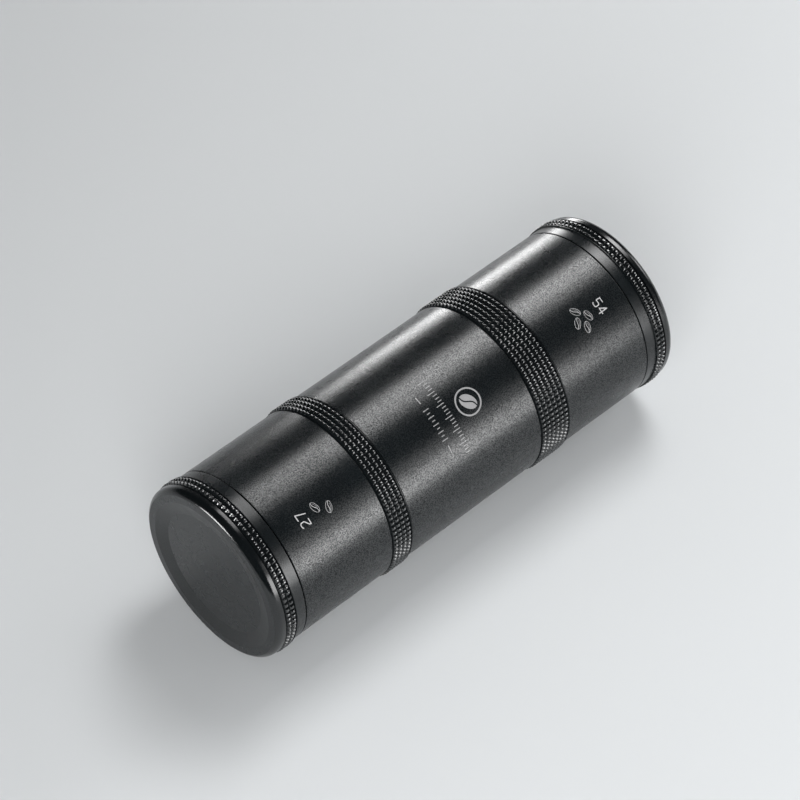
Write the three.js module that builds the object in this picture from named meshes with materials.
// Double-ended modular coffee bean canister, lying on its side. Millimetres, +Z up.
// The axis of the canister runs along X. The end with the small dose is at -X and the end with the
// double dose at +X. The origin is on the surface that the canister lies on, under its middle.
import * as THREE from "three";

// Outside sizes
const SIDES = 36; // facets round every turned piece, with one facet lying flat underneath
const TUBE_RADIUS = 25.5;
const BAND_RADIUS = 26.1; // over the knurls
const RIM_RADIUS = 25.7; // smooth rim of a lid
const LID_LENGTH = 9.95;
const TUBE_27_LENGTH = 30.15;
const MIDDLE_TUBE_LENGTH = 47.2;
const TUBE_54_LENGTH = 29.75;
const NARROW_BAND_WIDTH = 6.8; // four rows of knurl
const WIDE_BAND_WIDTH = 10.3; // six rows of knurl

// Screw joints: a plain spigot enters a plain counterbore, with running clearance all round
const SPIGOT_LENGTH = 7;
const SPIGOT_RADIUS = 23.9;
const SPIGOT_BORE = 21.5;
const COUNTERBORE_RADIUS = 24.2;
const COUNTERBORE_DEPTH = 7.6;
const TUBE_BORE = 23;
const HALF_GAP = 0.15; // each piece stands back this far from a parting plane
const GROOVE_START = 1; // from the shoulder to the seal groove
const GROOVE_WIDTH = 1.9;
const GROOVE_RADIUS = 22.3;
const SEAL_RADIUS = 23.25; // to the middle of an O-ring's section
const SEAL_SECTION = 0.65; // radius of that section
const SEAL_SIDES = 6;
const EDGE = 0.3; // broken edges

// Lid
const SKIRT_LENGTH = 3.35;
const LID_BAND_END = 6.85;
const UNDERCUT_END = 7.1;
const UNDERCUT_RADIUS = 25.3;
const RIM_ARC_START = 8; // where the rim's side begins to round over towards the end face
const RIM_ARC_RADIUS = 2.1;
const RIM_ARC_STEPS = 4;
const DISH_OUTER_RADIUS = 22.1;
const DISH_FLOOR_RADIUS = 18;
const DISH_DEPTH = 1;
const LID_CEILING = 6.4; // underside of the lid's disc, from its parting plane
const PLUG_TOP = 6.1;
const LINER_RADIUS = 21.2;
const LINER_THICKNESS = 1.2;

// Divider inside the narrow coupler, listed from the lip towards the tip of the inner spigot
const LIP_RADIUS = 20.4;
const LIP_DEPTH = 2.6; // from the parting plane of the middle tube
const LIP_THICKNESS = 0.6;
const DIVIDER_RADIUS = 21.2;
const DIVIDER_GASKET_THICKNESS = 0.5;
const DIVIDER_THICKNESS = 1.7;
const RETAINER_BORE = 19.8;
const RETAINER_THICKNESS = 0.5;
const STACK_GAP = 0.15;

// Stations along the axis
const TOTAL_LENGTH =
  LID_LENGTH +
  TUBE_27_LENGTH +
  NARROW_BAND_WIDTH +
  MIDDLE_TUBE_LENGTH +
  WIDE_BAND_WIDTH +
  TUBE_54_LENGTH +
  LID_LENGTH;
const LID_27_PLANE = -TOTAL_LENGTH / 2 + LID_LENGTH;
const NARROW_START = LID_27_PLANE + TUBE_27_LENGTH;
const NARROW_END = NARROW_START + NARROW_BAND_WIDTH;
const WIDE_START = NARROW_END + MIDDLE_TUBE_LENGTH;
const WIDE_END = WIDE_START + WIDE_BAND_WIDTH;
const LID_54_PLANE = WIDE_END + TUBE_54_LENGTH;
const FACET_HALF_ANGLE = Math.PI / SIDES;
const AXIS_HEIGHT = BAND_RADIUS * Math.cos(FACET_HALF_ANGLE);

const anodised = { color: 0x1b1d1f, roughness: 0.45, metalness: 0.9 };
const anodisedInside = { color: 0x24262a, roughness: 0.55, metalness: 0.9 };
const silicone = { color: 0x2a2a2c, roughness: 0.7, metalness: 0 };
const springSteel = { color: 0x8d9094, roughness: 0.35, metalness: 1 };

const canister = new THREE.Group();
canister.position.z = AXIS_HEIGHT;

// A piece turned from an outline of [distance along the axis, radius] points, kept on its left.
// An outline that doesn't begin on the axis is closed back to its first point.
function turned(name, outline, finish, parent = canister) {
  const points = outline.map(([along, radius]) => new THREE.Vector2(radius, along));
  if (points[0].x > 0) {
    points.push(points[0].clone());
  }
  const geometry = new THREE.LatheGeometry(points, SIDES, FACET_HALF_ANGLE);
  geometry.rotateZ(-Math.PI / 2);
  const mesh = new THREE.Mesh(geometry, new THREE.MeshStandardMaterial(finish));
  mesh.name = name;
  parent.add(mesh);
  return mesh;
}

// A group at a parting plane. Its own +X points out of the canister's middle when facing is 1,
// and a facing of -1 turns it half round so that the same outlines serve the other end.
function partingPlane(along, facing) {
  const group = new THREE.Group();
  group.position.x = along;
  group.rotation.z = facing > 0 ? 0 : Math.PI;
  canister.add(group);
  return group;
}

// The outside of a spigot, from its shoulder to its tip, entering the neighbour at -1 * side.
function spigotOutline(shoulder, side) {
  const at = (depth) => shoulder + side * depth;
  return [
    [shoulder, SPIGOT_RADIUS],
    [at(GROOVE_START), SPIGOT_RADIUS],
    [at(GROOVE_START), GROOVE_RADIUS],
    [at(GROOVE_START + GROOVE_WIDTH), GROOVE_RADIUS],
    [at(GROOVE_START + GROOVE_WIDTH), SPIGOT_RADIUS],
    [at(SPIGOT_LENGTH - EDGE), SPIGOT_RADIUS],
    [at(SPIGOT_LENGTH), SPIGOT_RADIUS - EDGE],
  ];
}

// An O-ring lying in the groove of a spigot whose shoulder is at the given place.
function oRing(name, shoulder, side, parent = canister) {
  const middle = shoulder + side * (GROOVE_START + GROOVE_WIDTH / 2);
  const outline = [];
  for (let i = 0; i < SEAL_SIDES; i += 1) {
    const angle = (2 * Math.PI * i) / SEAL_SIDES;
    outline.push([
      middle - SEAL_SECTION * Math.cos(angle),
      SEAL_RADIUS + SEAL_SECTION * Math.sin(angle),
    ]);
  }
  return turned(name, outline, silicone, parent);
}

// A tube with a counterbore at each end for a neighbour's spigot.
function tube(name, from, to) {
  const start = from + HALF_GAP;
  const end = to - HALF_GAP;
  turned(
    name,
    [
      [start, COUNTERBORE_RADIUS],
      [start, TUBE_RADIUS - EDGE],
      [start + EDGE, TUBE_RADIUS],
      [end - EDGE, TUBE_RADIUS],
      [end, TUBE_RADIUS - EDGE],
      [end, COUNTERBORE_RADIUS],
      [to - COUNTERBORE_DEPTH, COUNTERBORE_RADIUS],
      [to - COUNTERBORE_DEPTH, TUBE_BORE],
      [from + COUNTERBORE_DEPTH, TUBE_BORE],
      [from + COUNTERBORE_DEPTH, COUNTERBORE_RADIUS],
    ],
    anodised,
  );
}

// A coupler: a knurled band with a spigot on each side. The lip is an inward ledge in the bore
// of its +X spigot, and only the coupler that holds the divider has one.
function coupler(name, from, to, hasLip) {
  const start = from + HALF_GAP;
  const end = to - HALF_GAP;
  const lipStart = to + LIP_DEPTH;
  const lip = [
    [lipStart + LIP_THICKNESS, SPIGOT_BORE],
    [lipStart + LIP_THICKNESS, LIP_RADIUS],
    [lipStart, LIP_RADIUS],
    [lipStart, SPIGOT_BORE],
  ];
  turned(
    name,
    [
      [from - SPIGOT_LENGTH, SPIGOT_BORE],
      ...spigotOutline(from, -1).reverse().slice(0, -1),
      [start, SPIGOT_RADIUS],
      [start, TUBE_RADIUS],
      [start + EDGE, BAND_RADIUS],
      [end - EDGE, BAND_RADIUS],
      [end, TUBE_RADIUS],
      [end, SPIGOT_RADIUS],
      ...spigotOutline(to, 1).slice(1),
      [to + SPIGOT_LENGTH, SPIGOT_BORE],
      ...(hasLip ? lip : []),
    ],
    anodised,
  );
}

// A lid in its own group: a cap with a dished end, the plug that carries the thread and the seal,
// and a soft liner under the cap's disc.
function lid(dose, plane, facing) {
  const group = partingPlane(plane, facing);
  const prefix = `lid_${dose}`;
  turned(
    `${prefix}_cap`,
    [
      [LID_CEILING, 0],
      [LID_CEILING, COUNTERBORE_RADIUS],
      [HALF_GAP, COUNTERBORE_RADIUS],
      [HALF_GAP, TUBE_RADIUS - EDGE],
      [HALF_GAP + EDGE, TUBE_RADIUS],
      [SKIRT_LENGTH, TUBE_RADIUS],
      [SKIRT_LENGTH + EDGE, BAND_RADIUS],
      [LID_BAND_END - EDGE, BAND_RADIUS],
      [LID_BAND_END, UNDERCUT_RADIUS],
      [UNDERCUT_END, UNDERCUT_RADIUS],
      [UNDERCUT_END, RIM_RADIUS],
      ...rimArc(),
      [LID_LENGTH, DISH_OUTER_RADIUS],
      [LID_LENGTH - DISH_DEPTH, DISH_FLOOR_RADIUS],
      [LID_LENGTH - DISH_DEPTH, 0],
    ],
    anodised,
    group,
  );
  turned(
    `${prefix}_plug`,
    [
      [-SPIGOT_LENGTH, SPIGOT_BORE],
      ...spigotOutline(0, -1).reverse().slice(0, -1),
      [PLUG_TOP, SPIGOT_RADIUS],
      [PLUG_TOP, SPIGOT_BORE],
    ],
    anodisedInside,
    group,
  );
  oRing(`${prefix}_o_ring`, 0, -1, group);
  turned(
    `${prefix}_liner`,
    [
      [PLUG_TOP - LINER_THICKNESS, 0],
      [PLUG_TOP - LINER_THICKNESS, LINER_RADIUS],
      [PLUG_TOP, LINER_RADIUS],
      [PLUG_TOP, 0],
    ],
    silicone,
    group,
  );
}

// The round of a rim from its side to the crisp edge of the end face, as a few points.
function rimArc() {
  const sweep = Math.asin((LID_LENGTH - RIM_ARC_START) / RIM_ARC_RADIUS);
  const points = [];
  for (let i = 0; i <= RIM_ARC_STEPS; i += 1) {
    const angle = sweep * (i / RIM_ARC_STEPS);
    points.push([
      RIM_ARC_START + RIM_ARC_RADIUS * Math.sin(angle),
      RIM_RADIUS - RIM_ARC_RADIUS * (1 - Math.cos(angle)),
    ]);
  }
  return points;
}

// The divider between the two chambers: gasket, disc and retaining ring, stacked on the lip.
function divider() {
  let along = NARROW_END + LIP_DEPTH + LIP_THICKNESS + STACK_GAP;
  const washer = (name, thickness, bore, finish) => {
    turned(
      name,
      [
        [along, bore],
        [along, DIVIDER_RADIUS],
        [along + thickness, DIVIDER_RADIUS],
        [along + thickness, bore],
      ],
      finish,
    );
    along += thickness + STACK_GAP;
  };
  washer("divider_gasket", DIVIDER_GASKET_THICKNESS, LIP_RADIUS, silicone);
  washer("divider_disc", DIVIDER_THICKNESS, 0, anodisedInside);
  washer("divider_retaining_ring", RETAINER_THICKNESS, RETAINER_BORE, springSteel);
}

lid("27", LID_27_PLANE, -1);
tube("tube_27", LID_27_PLANE, NARROW_START);
oRing("narrow_coupler_outer_o_ring", NARROW_START, -1);
coupler("narrow_coupler", NARROW_START, NARROW_END, true);
divider();
oRing("narrow_coupler_inner_o_ring", NARROW_END, 1);
tube("tube_middle", NARROW_END, WIDE_START);
oRing("wide_coupler_inner_o_ring", WIDE_START, -1);
coupler("wide_coupler", WIDE_START, WIDE_END, false);
oRing("wide_coupler_outer_o_ring", WIDE_END, 1);
tube("tube_54", WIDE_END, LID_54_PLANE);
lid("54", LID_54_PLANE, 1);

export default canister;
